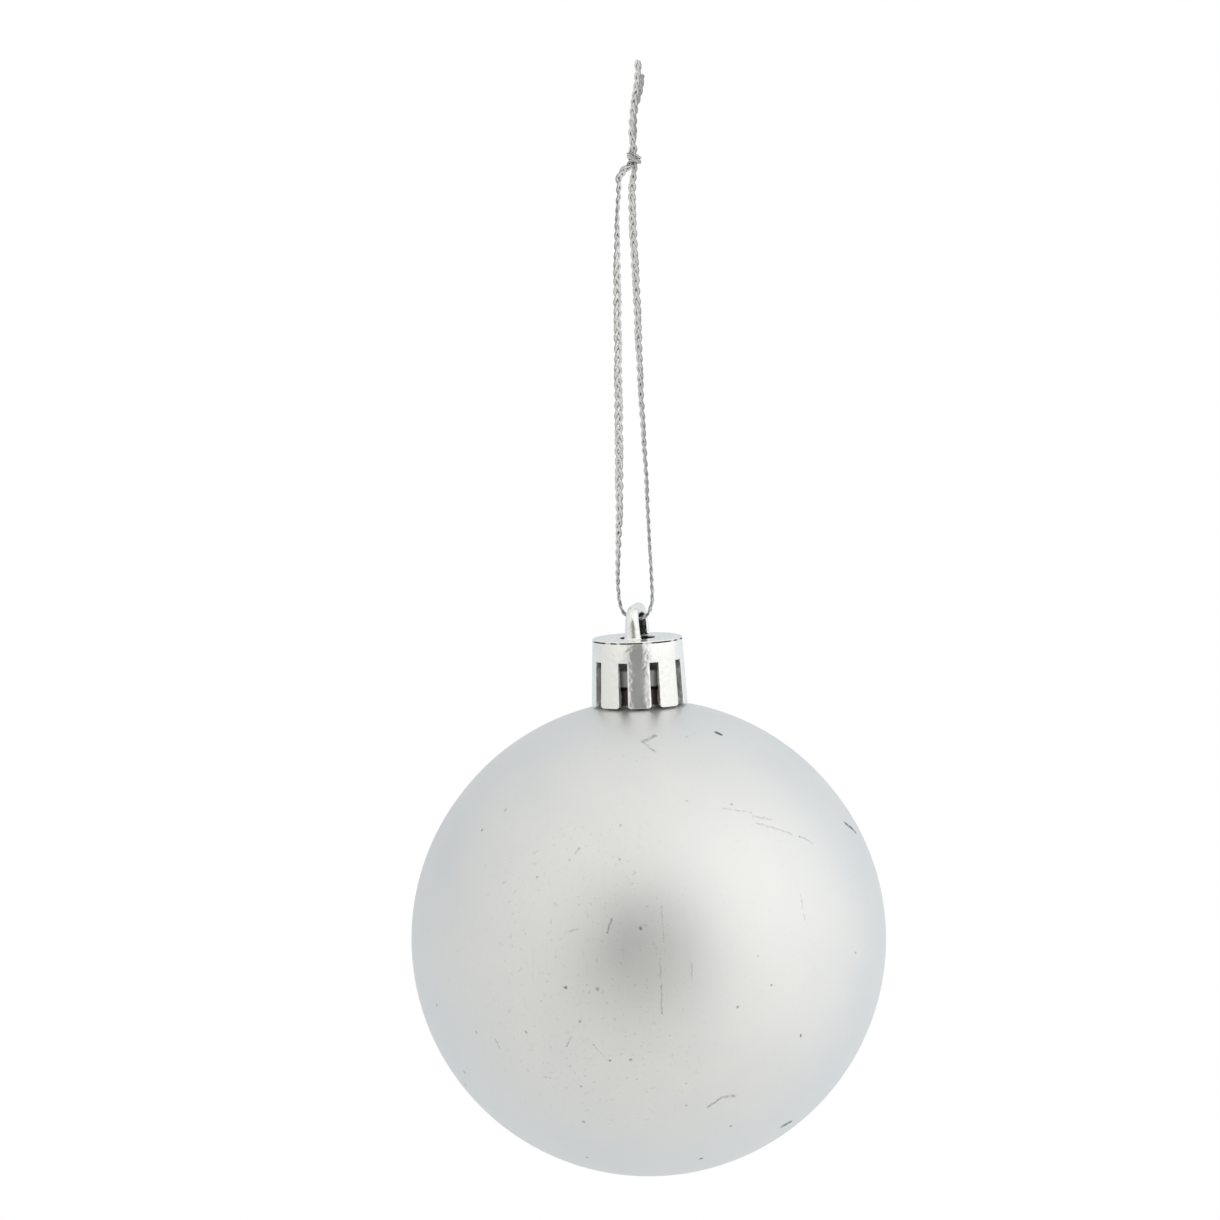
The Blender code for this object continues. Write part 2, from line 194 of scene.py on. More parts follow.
# Hanger arch
ARCH_HALF_SPAN = 2.8
ARCH_CORNER = 1.5
ARCH_HALF_THICK = 0.68
ARCH_FOOT_HALF_WIDTH = 1.03
ARCH_BAR_HALF_WIDTH = 0.75
ARCH_ROOT = 0.4
ARCH_FILLET = 0.3
ARCH_FILLET_ROWS = (0.0, 0.1, 0.25, 0.5, 0.75, 1.0)
ARCH_LEG_ROWS = 8
ARCH_CORNER_STEPS = 14
ARCH_SECTION = 48
EYE_MIDDLE = 1.7  # the height of the opening's middle above the disc

# Braid
STRANDS = 3
STRAND_HALF_WIDTH = 0.215
STRAND_HALF_THICK = 0.145
STRAND_SWING = 0.335  # sideways, either way
STRAND_WEAVE = 0.095  # over and under
PLAIT_PITCH = 3.6  # length in which a strand crosses and comes back
YARN_PLIES = 6
YARN_LOBE = 0.06  # how far a ply stands out, as a share of the strand
YARN_PITCH = 1.5
YARN_FIBRES = 24
STRAND_SECTION = 24
RING_SPACING = 0.11
LAY_WANDER = 0.35  # of the plait's phase, in radians
LAY_WANDER_RATE = 0.83  # in radians per millimetre
SWING_WANDER = 0.08  # share of the swing
SWING_WANDER_RATE = 1.37  # in radians per millimetre
STRAND_CORNER = 60.0  # degrees between faces that are shaded apart
BRAID_DULL = (0.73, 0.73, 0.725, 1.0)
BRAID_BRIGHT = (0.90, 0.90, 0.895, 1.0)
# painted shade in the creases between strands
BRAID_PAINTED_SHADE = (0.18, 0.18, 0.18, 1.0)
BRAID_SHADE_REACH = 0.22  # other strands nearer than this darken a strand with painted shade

# The cord's course
CURVE_STEPS = 40  # from one control point to the next
RUN_POINTS = 7  # control points up each CAD length of the loop's sides
TAIL_POINTS = 5
KNOT_SQUEEZE = 0.66  # of the cord's width, where the knot rolls it up
KNOT_EASE = 0.8  # length over which it does
KNOT_PAIR_OFFSET = 0.24  # from the pair's middle to each cord's
# The middle of the cord pair's way through the knot, bottom to top: up behind to the upper left, down
# across the front to the right, back behind to the left, and up again under its own front pass
KNOT_WAY = (
    (-0.05, 0.15, -0.95), (-0.1, 0.35, -0.4), (-0.25, 0.35, 0.25), (-0.35, -0.05, 0.5), (0.05, -0.5, 0.25),
    (0.5, -0.35, -0.08), (0.74, 0.05, -0.25), (0.35, 0.45, -0.35), (-0.3, 0.4, -0.4), (-0.52, 0.0, -0.32),
    (-0.25, -0.28, -0.1), (0.02, -0.12, 0.35), (0.02, 0.0, 0.95),
)
# From the knot's middle, how the left run leaves it
LEFT_SHOULDER = ((-0.75, 0.1, -1.2), (-1.5, 0.05, -1.8), (-2.0, 0.0, -2.7))
EYE_SQUARENESS = 2.6
EYE_HALF_SWEEP = 82.0  # degrees either side of its lowest point
EYE_POINTS = 11
# How far the cord's broad side is turned from facing front, in degrees, at heights in millimetres
LEFT_TURN = ((127.6, -25.0), (126.0, -77.0), (122.0, -88.0), (119.0, -68.0), (113.0, -36.0), (104.0, -36.0),
             (92.0, -10.0), (86.0, 19.0), (82.0, 38.0), (77.0, 61.0))
RIGHT_TURN = ((80.0, 102.0), (84.0, 112.0), (91.0, 118.0), (101.0, 139.0), (107.0, 156.0),
              (120.0, 163.0), (126.0, 156.0))
EYE_TURN = 88.0
LONG_TAIL_TURN = 35.0
SHORT_TAIL_TURN = 145.0
TAIL_TRIM = 0.25  # how far the braid stops short of its CAD solid
TAIL_PRESS = 0.32  # share of the way that each tail is moved to the middle of the two
END_SPREAD = 1.15  # the width of the cut ends, as a share of the cord's
END_SPREAD_LENGTH = 0.9


# ---- Shared ----


def direction(azimuth, elevation):
    """The way from the ball's centre that an azimuth and an elevation give."""
    azimuth, elevation = math.radians(azimuth), math.radians(elevation)
    level = math.cos(elevation)
    return Vector((math.sin(azimuth) * level, -math.cos(azimuth) * level, math.sin(elevation)))


def ball_radius():
    """The ball's radius in metres."""
    low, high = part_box("ball_shell")
    return (high.x - low.x) / 2.0


def linked(name, data):
    """A new object in the scene."""
    made = bpy.data.objects.new(name, data)
    bpy.context.scene.collection.objects.link(made)
    return made


def stand_in(piece, body, node):
    """Lets a piece ride on a body, in place of a CAD node."""
    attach(piece, body)
    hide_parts(node)


def mesh_object(name, vertices, faces, material, uvs=None):
    """A smooth-shaded object from points in millimetres."""
    mesh = bpy.data.meshes.new(name)
    mesh.from_pydata((np.asarray(vertices) * MM).tolist(), [], faces)
    if uvs is not None:
        layer = mesh.uv_layers.new(name="strand")
        layer.data.foreach_set("uv", np.asarray(uvs, np.float32).ravel())
    mesh.validate()
    mesh.shade_smooth()
    mesh.materials.append(material)
    return linked(name, mesh)


def square(name, half, height, material):
    """A level square object, in millimetres."""
    corners = ((-half, -half), (half, -half), (half, half), (-half, half))
    return mesh_object(name, [(x, y, height) for x, y in corners], [(0, 1, 2, 3)], material)


def arc(centre, radius, start, end, steps):
    """Points on an arc in a flat drawing, angles in degrees, both ends included."""
    angles = np.radians(np.linspace(start, end, steps + 1))
    return [(centre[0] + radius * math.cos(a), centre[1] + radius * math.sin(a)) for a in angles]


def squared(value, squareness):
    """A sine or cosine changed so that the circle it draws gets squarer shoulders."""
    return math.copysign(abs(value) ** (2.0 / squareness), value)


def unit(vectors):
    """Each row brought to length one."""
    return vectors / np.linalg.norm(vectors, axis=1)[:, None]


def lathe(profile, segments):
    """Vertices and faces of a turned shape; a point on the axis becomes a pole."""
    vertices, rings, faces = [], [], []
    for radius, height in profile:
        count = segments if radius > 1e-6 else 1
        rings.append([len(vertices) + j for j in range(count)])
        for j in range(count):
            angle = 2.0 * math.pi * j / segments
            vertices.append((radius * math.cos(angle), radius * math.sin(angle), height))
    for low, high in zip(rings, rings[1:]):
        for j in range(segments):
            k = (j + 1) % segments
            corners = [low[j % len(low)], low[k % len(low)], high[k % len(high)], high[j % len(high)]]
            faces.append(list(dict.fromkeys(corners)))
    return vertices, faces


# ---- Ball ----


def swell(point, radius):
    """A point of the round ball, moved out where the ball swells towards its neck."""
    from_neck = math.degrees(math.atan2(point[0], point[1] - radius))
    share = max(1.0 - from_neck / SHOULDER_SPREAD, 0.0)
    grown = 1.0 + SHOULDER_RISE * share / radius
    return point[0] * grown, radius + (point[1] - radius) * grown


def ball_outside(radius):
    """From the ball's lowest point up to its neck."""
    neck_meets = math.degrees(math.acos((NECK_RADIUS + NECK_FILLET) / radius))
    profile = [swell(point, radius) for point in arc((0.0, radius), radius, -90.0, neck_meets, BALL_RINGS)]
    profile[0] = (0.0, 0.0)
    fillet_z = profile[-1][1] + NECK_FILLET
    return profile + arc((NECK_RADIUS + NECK_FILLET, fillet_z), NECK_FILLET, 250.0, 180.0, 5)


def neck_bead(mouth_z):
    """Up the neck, round its bead and over the mouth's edge into the bore."""
    bead_z = mouth_z - BEAD_HEIGHT
    outer = BEAD_RADIUS - BEAD_ROUNDING
    inner = NECK_RADIUS - NECK_WALL + BEAD_ROUNDING
    top = mouth_z - BEAD_ROUNDING
    profile = [(NECK_RADIUS, bead_z - 0.1), (NECK_RADIUS, bead_z)]
    profile += arc((outer, bead_z + BEAD_ROUNDING), BEAD_ROUNDING, -90.0, 0.0, 5)
    profile += arc((outer, top), BEAD_ROUNDING, 0.0, 90.0, 5)
    return profile + arc((inner, top), BEAD_ROUNDING, 90.0, 180.0, 4)


def ball_inside(radius):
    """Down the inside of the shell, from the bore to the bottom."""
    inner_radius = radius - SHELL_WALL
    bore_meets = math.degrees(math.acos((NECK_RADIUS - NECK_WALL) / inner_radius))
    profile = arc((0.0, radius), inner_radius, bore_meets, -90.0, BALL_RINGS // 2)
    profile[-1] = (0.0, SHELL_WALL)
    return profile


def make_ball():
    radius = ball_radius() / MM
    mouth_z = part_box("ball_shell")[1].z / MM
    profile = ball_outside(radius) + neck_bead(mouth_z) + ball_inside(radius)
    vertices, faces = lathe(profile, BALL_SEGMENTS)
    ball = mesh_object("silver_ball", vertices, faces, satin_silver(radius, mouth_z - BEAD_HEIGHT))
    stand_in(ball, "ball", "ball_shell")


# ---- Crown cap ----


def at_heights(outline, heights):
    """Points (radius, height) at the given heights on an outline of (height, radius)."""
    return [(float(np.interp(z, *zip(*outline))), z) for z in heights]


def cap_edge(top_radius, edge_z):
    """The snap groove under the cap's upper edge, and the rounded edge."""
    groove_z = edge_z - CAP_GROOVE_HALF
    groove = [(top_radius, groove_z - CAP_GROOVE_HALF), (top_radius - CAP_GROOVE_DEPTH, groove_z)]
    return groove + arc((top_radius - CAP_EDGE_ROUNDING, edge_z), CAP_EDGE_ROUNDING, 8.0, 90.0, 8)


def cap_disc(top_radius, top_z):
    """Across the disc, round the lip of its opening and back under it."""
    ceiling = top_z - CAP_DISC
    top = [(radius, top_z) for radius in DISC_ROWS]
    lip = arc((OPENING_RADIUS + OPENING_ROUNDING, top_z - OPENING_ROUNDING), OPENING_ROUNDING, 90.0, 180.0, 4)
    return top + lip + [(radius, ceiling) for radius in (OPENING_RADIUS, CEILING_ROW, top_radius - CAP_WALL)]


def cap_rows(rim_radius, rim_z):
    """Rows round the cap's wall as (radius, height), from the rim up its outside, over the disc and down
    its inside, and how many of them, from each end, are slotted."""
    top_z = rim_z + CAP_BODY_HEIGHT
    slot_z = rim_z + SLOT_HEIGHT
    edge_z = top_z - CAP_EDGE_ROUNDING
    top_radius = rim_radius - CAP_TOP_INSET
    waist_radius = rim_radius - CAP_WAIST_INSET
    lug_low, lug_high = (rim_z + height for height in LUG_BAND)
    outside = ((rim_z, rim_radius), (rim_z + CAP_BODY_HEIGHT / 2.0, waist_radius), (edge_z, top_radius))
    inside = ((rim_z, rim_radius - CAP_WALL), (lug_low, LUG_RADIUS), (lug_high, LUG_RADIUS),
              (lug_high + CAP_WALL, waist_radius - CAP_WALL), (top_z - CAP_DISC, top_radius - CAP_WALL))
    levels = [rim_z + FINGER_ROUNDING * share for share in TIP_ROWS]
    levels += [lug_low, lug_high, lug_high + CAP_WALL]
    levels += list(np.linspace(lug_high + FINGER_ROWS_FROM, slot_z, FINGER_ROWS))
    slotted = len(levels)
    levels += [slot_z + rise for rise in BAND_ROWS]
    rows = at_heights(outside, levels) + cap_edge(top_radius, edge_z) + cap_disc(top_radius, top_z)
    return rows + at_heights(inside, levels[::-1]), slotted


def crown_columns():
    """Columns of points round the crown, as (angle, kind, share). On a finger the angle is the slot's
    before it and the share runs from 0 to 1; in a slot the angle is its own and the share -1 to 1."""
    period = 2.0 * math.pi / SLOT_COUNT
    columns = []
    for slot in range(SLOT_COUNT):
        middle = math.radians(CROWN_TURN - 90.0) + period * (slot + 0.5)
        columns += [(middle, "finger", step / FINGER_COLUMNS) for step in range(FINGER_COLUMNS + 1)]
        shares = [2.0 * step / SLOT_COLUMNS - 1.0 for step in range(1, SLOT_COLUMNS)]
        columns += [(middle + period, "slot", share) for share in shares]
    return columns


def column_angle(column, radius, above_rim):
    """Where round the cap a column is, at a radius and a height above the rim. A slot is wider where its
    fingers' lower corners are rounded off."""
    middle, kind, share = column
    if kind == "slot":
        return middle + math.asin(share * SLOT_HALF_WIDTH / radius)
    short = max(FINGER_ROUNDING - above_rim, 0.0)
    half_width = SLOT_HALF_WIDTH + FINGER_ROUNDING - math.sqrt(FINGER_ROUNDING**2 - short**2)
    half = math.asin(half_width / radius)
    return middle + half + (2.0 * math.pi / SLOT_COUNT - 2.0 * half) * share


def crown_grid(shape, columns, rows, slotted, rim_z):
    """The crown's vertices, column by column, with none where a slot is cut."""
    grid = []
    for column in columns:
        line = []
        for row, (radius, height) in enumerate(rows):
            is_cut = column[1] == "slot" and min(row, len(rows) - 1 - row) < slotted - 1
            angle = column_angle(column, radius, height - rim_z)
            place = (radius * math.cos(angle), radius * math.sin(angle), height)
            line.append(None if is_cut else shape.verts.new(place))
        grid.append(line)
    return grid


def add_crown_faces(shape, columns, grid, slotted):
    """The crown's skin: its wall inside and out, the fingers' tips and flanks and the slots' upper ends."""
    last = len(grid[0]) - 1
    slot_top = slotted - 1
    for index, (_, kind, share) in enumerate(columns):
        here, after = grid[index], grid[(index + 1) % len(grid)]
        low = 0 if kind == "finger" and share < 1.0 else slot_top
        for row in range(low, last - low):
            shape.faces.new((here[row], after[row], after[row + 1], here[row + 1]))
        shape.faces.new((here[last - low], after[last - low], after[low], here[low]))
        if kind == "finger" and share in (0.0, 1.0):
            for row in range(slot_top):
                shape.faces.new((here[row], here[row + 1], here[last - row - 1], here[last - row]))


def cap_mesh(rim_radius, rim_z):
    """The slotted crown as a bmesh in millimetres, with its edges bevelled."""
    rows, slotted = cap_rows(rim_radius, rim_z)
    shape = bmesh.new()
    columns = crown_columns()
    add_crown_faces(shape, columns, crown_grid(shape, columns, rows, slotted, rim_z), slotted)
    bmesh.ops.recalc_face_normals(shape, faces=shape.faces)
    corner = math.radians(BEVEL_FROM)
    edges = [edge for edge in shape.edges if len(edge.link_faces) == 2 and edge.calc_face_angle() > corner]
    bmesh.ops.bevel(shape, geom=edges, offset=CAP_BEVEL, segments=2, profile=0.5, affect="EDGES",
                    clamp_overlap=True)
    return shape


def arch_line(disc_z, bar_z):
    """Points (y, z) along the middle of the arch, from one foot over the bar to the other."""
    shoulder_y = ARCH_HALF_SPAN - ARCH_CORNER
    shoulder_z = bar_z - ARCH_CORNER
    heights = [disc_z - ARCH_ROOT] + [disc_z + ARCH_FILLET * share for share in ARCH_FILLET_ROWS]
    heights += list(np.linspace(disc_z + 2.0 * ARCH_FILLET, shoulder_z, ARCH_LEG_ROWS))
    half = [(-ARCH_HALF_SPAN, z) for z in heights]
    half += arc((-shoulder_y, shoulder_z), ARCH_CORNER, 180.0, 90.0, ARCH_CORNER_STEPS)[1:]
    half.append((-shoulder_y / 2.0, bar_z))
    return half + [(0.0, bar_z)] + [(-y, z) for y, z in reversed(half)]


def arch_section(disc_z, bar_z, z):
    """The arch's outline across at a height: flared at the feet and narrower towards the bar."""
    rise = min(max((z - disc_z) / (bar_z - disc_z), 0.0), 1.0)
    sunk = min(max(1.0 - (z - disc_z) / ARCH_FILLET, 0.0), 1.0)
    flare = ARCH_FILLET * (1.0 - math.sqrt(1.0 - sunk**2))
    half_width = ARCH_FOOT_HALF_WIDTH + (ARCH_BAR_HALF_WIDTH - ARCH_FOOT_HALF_WIDTH) * rise + flare
    half_thick = ARCH_HALF_THICK + flare
    angles = [2.0 * math.pi * i / ARCH_SECTION for i in range(ARCH_SECTION)]
    return [(half_width * math.cos(angle), half_thick * math.sin(angle)) for angle in angles]


def arch_mesh(disc_z, top_z):
    """The hanger arch as a bmesh in millimetres; its feet reach into the disc."""
    bar_z = top_z - ARCH_HALF_THICK
    line = arch_line(disc_z, bar_z)
    shape = bmesh.new()
    loops = []
    for i, (y, z) in enumerate(line):
        before, after = line[max(i - 1, 0)], line[min(i + 1, len(line) - 1)]
        along = Vector((0.0, after[0] - before[0], after[1] - before[1])).normalized()
        outward = along.cross(Vector((1.0, 0.0, 0.0)))
        section = arch_section(disc_z, bar_z, z)
        loops.append([shape.verts.new(Vector((across, y, z)) + outward * out) for across, out in section])
    for low, high in zip(loops, loops[1:]):
        for j in range(ARCH_SECTION):
            k = (j + 1) % ARCH_SECTION
            shape.faces.new((low[j], low[k], high[k], high[j]))
    shape.faces.new(list(reversed(loops[0])))
    shape.faces.new(loops[-1])
    bmesh.ops.recalc_face_normals(shape, faces=shape.faces)
    return shape


def object_from(shape, name, material):
    """An object from a bmesh in millimetres."""
    shape.transform(Matrix.Scale(MM, 4))
    mesh = bpy.data.meshes.new(name)
    shape.to_mesh(mesh)
    shape.free()
    mesh.materials.append(material)
    return linked(name, mesh)


def unite(first, second):
    """Joins the second object's solid to the first's and removes the second."""
    union = first.modifiers.new("union", "BOOLEAN")
    union.operation = "UNION"
    union.solver = "EXACT"
    union.object = second
    bpy.context.view_layer.update()
    evaluated = first.evaluated_get(bpy.context.evaluated_depsgraph_get())
    joined = bpy.data.meshes.new_from_object(evaluated)
    first.modifiers.clear()
    first.data = joined
    bpy.data.objects.remove(second)


def looks_inside(centre, normal, rim_z, disc_z):
    """Whether a face of the cap looks inwards or down, above its rim and under its disc."""
    across = Vector((centre.x, centre.y, 0.0)).normalized()
    turned_in = normal.dot(across) < -0.3 or normal.z < -0.5
    return rim_z + 0.3 < centre.z < disc_z - 0.2 and turned_in


def lies_in_groove(centre, rim_radius, disc_z):
    """Whether a face lies in the groove outside its breaks, where it gets the painted dark line."""
    groove_z = disc_z - CAP_EDGE_ROUNDING - CAP_GROOVE_HALF
    depth = rim_radius - CAP_TOP_INSET - math.hypot(centre.x, centre.y)
    angle = math.atan2(centre.y, centre.x)
    is_open = math.sin(7.0 * angle) + math.sin(19.0 * angle + 1.0) > GROOVE_BREAKS
    return abs(centre.z - groove_z) < 0.12 and depth > 0.04 and is_open


def faces_eye(centre, normal, disc_z):
    """Whether a face of the arch looks into the opening under the bar."""
    above = centre.z - disc_z
    to_eye = Vector((0.0, -centre.y, EYE_MIDDLE - above)).normalized()
    return above > 0.1 and abs(centre.y) < ARCH_HALF_SPAN and normal.dot(to_eye) > 0.7


def mark_painted_shade_faces(mesh, rim_radius, rim_z):
    """Gives the second material, painted shade, to the faces inside the cap, in its groove and round the
    arch's eye.
    """
    disc_z = rim_z + CAP_BODY_HEIGHT
    for face in mesh.polygons:
        centre, normal = face.center / MM, face.normal
        is_hidden = looks_inside(centre, normal, rim_z, disc_z) or faces_eye(centre, normal, disc_z)
        if is_hidden or lies_in_groove(centre, rim_radius, disc_z):
            face.material_index = 1


def make_cap():
    low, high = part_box("cap_crown")
    rim_radius = (high.x - low.x) / 2.0 / MM
    rim_z = low.z / MM
    plating = plated_silver()
    cap = object_from(cap_mesh(rim_radius, rim_z), "crown_cap", plating)
    unite(cap, object_from(arch_mesh(rim_z + CAP_BODY_HEIGHT, high.z / MM), "hanger_arch", plating))
    cap.data.shade_smooth()
    # the cap's inside, its groove and the arch's eye get painted shade
    cap.data.materials.append(painted_shade_plastic())
    mark_painted_shade_faces(cap.data, rim_radius, rim_z)
    cap.modifiers.new("even_normals", "WEIGHTED_NORMAL")
    stand_in(cap, "cap", "cap_crown")


# ---- Cord ----


def centre_line(node, count):
    """Points up the middle of a CAD length of cord, from the middles of even slices of its height."""
    corners = np.array([v.co for v in bpy.data.objects[node].data.vertices], float) / MM
    edges = np.linspace(corners[:, 2].min(), corners[:, 2].max() + 1e-6, count + 1)
    points = []
    for low, high in zip(edges, edges[1:]):
        inside = corners[(corners[:, 2] >= low) & (corners[:, 2] < high)]
        middle = (inside.min(axis=0) + inside.max(axis=0)) / 2.0
        points.append(np.array((middle[0], middle[1], (low + high) / 2.0)))
    return points


def tail_lines():
    """Points up the two tails, which lie against each other; their CAD solids stand a little apart."""
    lines = []
    for node in ("cord_tail_long", "cord_tail_short"):
        line = centre_line(node, TAIL_POINTS)
        end = np.array((line[-1][0], line[-1][1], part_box(node)[1].z / MM - TAIL_TRIM))
        lines.append(line + [end])
    middles = [(a + b) / 2.0 for a, b in zip(*lines)]
    press = np.array((TAIL_PRESS, TAIL_PRESS, 0.0))
    return [[point + (middle - point) * press for point, middle in zip(line, middles)] for line in lines]


def eye_line():
    """Points round the square-shouldered U that passes under the arch's bar, left to right."""
    low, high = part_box("cord_bight")
    thick = STRAND_WEAVE + STRAND_HALF_THICK
    span = high.x / MM - thick
    top = high.z / MM
    depth = top - low.z / MM - thick
    points = []
    for angle in np.radians(np.linspace(-EYE_HALF_SWEEP, EYE_HALF_SWEEP, EYE_POINTS)):
        across = span * squared(math.sin(angle), EYE_SQUARENESS)
        points.append(np.array((across, 0.0, top - depth * squared(math.cos(angle), EYE_SQUARENESS))))
    return points


def near_knot(offsets):
    """Points given by their offsets from the knot's middle."""
    low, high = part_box("cord_knot")
    centre = np.array((low + high) / 2.0) / MM
    return [centre + np.array(offset) for offset in offsets]


def knot_pass(offset):
    """One cord's way through the overhand knot, bottom to top, moved sideways to lie beside its pair."""
    way = curve_through(near_knot(KNOT_WAY))
    tangents = unit(np.gradient(way, axis=0))
    sides = transported(tangents, 0, np.array((1.0, 0.0, 0.0)))
    return list((way + sides * offset)[::CURVE_STEPS // 2])


def curve_through(points):
    """A dense Catmull-Rom curve; control point i lands on dense point i * CURVE_STEPS."""
    knots = [2.0 * points[0] - points[1]] + list(points) + [2.0 * points[-1] - points[-2]]
    t = np.linspace(0.0, 1.0, CURVE_STEPS, endpoint=False)[:, None]
    dense = []
    for a, b, c, d in zip(knots, knots[1:], knots[2:], knots[3:]):
        bend = (2.0 * a - 5.0 * b + 4.0 * c - d) * t**2 + (3.0 * b - a - 3.0 * c + d) * t**3
        dense.append(0.5 * (2.0 * b + (c - a) * t + bend))
    return np.vstack(dense + [np.array([points[-1]])])


def transported(tangents, start_index, start_side):
    """Sides carried along a curve without twisting, from a given side at a given point."""
    sides = np.zeros_like(tangents)
    sides[start_index] = start_side
    for step in (1, -1):
        i = start_index
        while 0 <= i + step < len(tangents):
            side = sides[i] - tangents[i + step] * np.dot(sides[i], tangents[i + step])
            sides[i + step] = side / np.linalg.norm(side)
            i += step
    return sides


def cord_route():
    """Control points of the whole cord, end to end, and where its named stretches start."""
    long_tail, short_tail = tail_lines()
    left_upper = centre_line("cord_left_upper", RUN_POINTS)
    left_lower = centre_line("cord_left_lower", RUN_POINTS)
    right_upper = centre_line("cord_right_upper", RUN_POINTS)
    right_lower = centre_line("cord_right_lower", RUN_POINTS)
    stretches = {
        "long_tail": long_tail[::-1],
        "knot_down": knot_pass(-KNOT_PAIR_OFFSET)[::-1],
        "left_top": near_knot(LEFT_SHOULDER) + left_upper[:3:-1],
        "left_middle": left_upper[3::-1] + left_lower[:3:-1],
        "eye_bend": left_lower[3::-1] + eye_line() + right_lower[:3],
        "right_middle": right_lower[3:] + right_upper[:3],
        "right_top": right_upper[3:],
        "knot_up": knot_pass(KNOT_PAIR_OFFSET),
        "short_tail": short_tail,
    }
    points, starts = [], {}
    for name, stretch in stretches.items():
        starts[name] = len(points)
        points += stretch
    return points, starts


def tube_faces(s):
    """Faces and UVs of a closed tube with its rings at the lengths s; U goes round and V is the length."""
    ring = list(range(STRAND_SECTION))
    faces, uvs = [], []
    for i in range(len(s) - 1):
        a, b = i * STRAND_SECTION, (i + 1) * STRAND_SECTION
        for j in ring:
            k = (j + 1) % STRAND_SECTION
            faces.append((a + j, a + k, b + k, b + j))
            here, after = j / STRAND_SECTION, (j + 1) / STRAND_SECTION
            uvs += [(here, s[i]), (after, s[i]), (after, s[i + 1]), (here, s[i + 1])]
    last = (len(s) - 1) * STRAND_SECTION
    faces += [ring[::-1], [last + j for j in ring]]
    uvs += [(j / STRAND_SECTION, s[0]) for j in ring[::-1]]
    uvs += [(j / STRAND_SECTION, s[-1]) for j in ring]
    return faces, uvs


